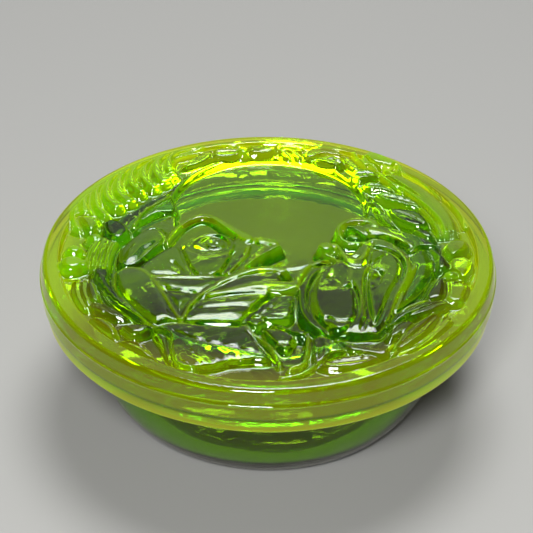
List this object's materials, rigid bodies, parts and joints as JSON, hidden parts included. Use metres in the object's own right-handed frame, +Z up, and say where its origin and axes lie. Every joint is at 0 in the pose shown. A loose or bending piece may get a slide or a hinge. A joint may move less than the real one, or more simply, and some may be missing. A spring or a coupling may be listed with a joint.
{
  "type": "covered glass dish",
  "caption": "Round pressed glass dish with a loose disc lid: roses and leaves in relief around a plain medallion, on a shallow flanged bowl.",
  "frame": {"origin": "centre of the flat base, on the surface that the dish stands on", "axes": "+Z up along the axis of the bowl, -Y the front: the side of the lid away from the medallion"},
  "size_m": [0.1212, 0.1212, 0.0441],
  "materials": {
    "bowl_glass": "fire-polished pressed uranium glass, yellow-green, glowing at its edges",
    "lid_glass": "fire-polished pressed uranium glass, yellow-green, glowing at its edges"
  },
  "bodies": {
    "bowl": {"bowl": "bowl_glass"},
    "lid": {"lid": "lid_glass"}
  },
  "joints": [
    {"name": "lid_lift", "type": "slide", "parent": "bowl", "child": "lid", "axis": [0, 0, 1], "range_m": [0, 0.06]}
  ]
}
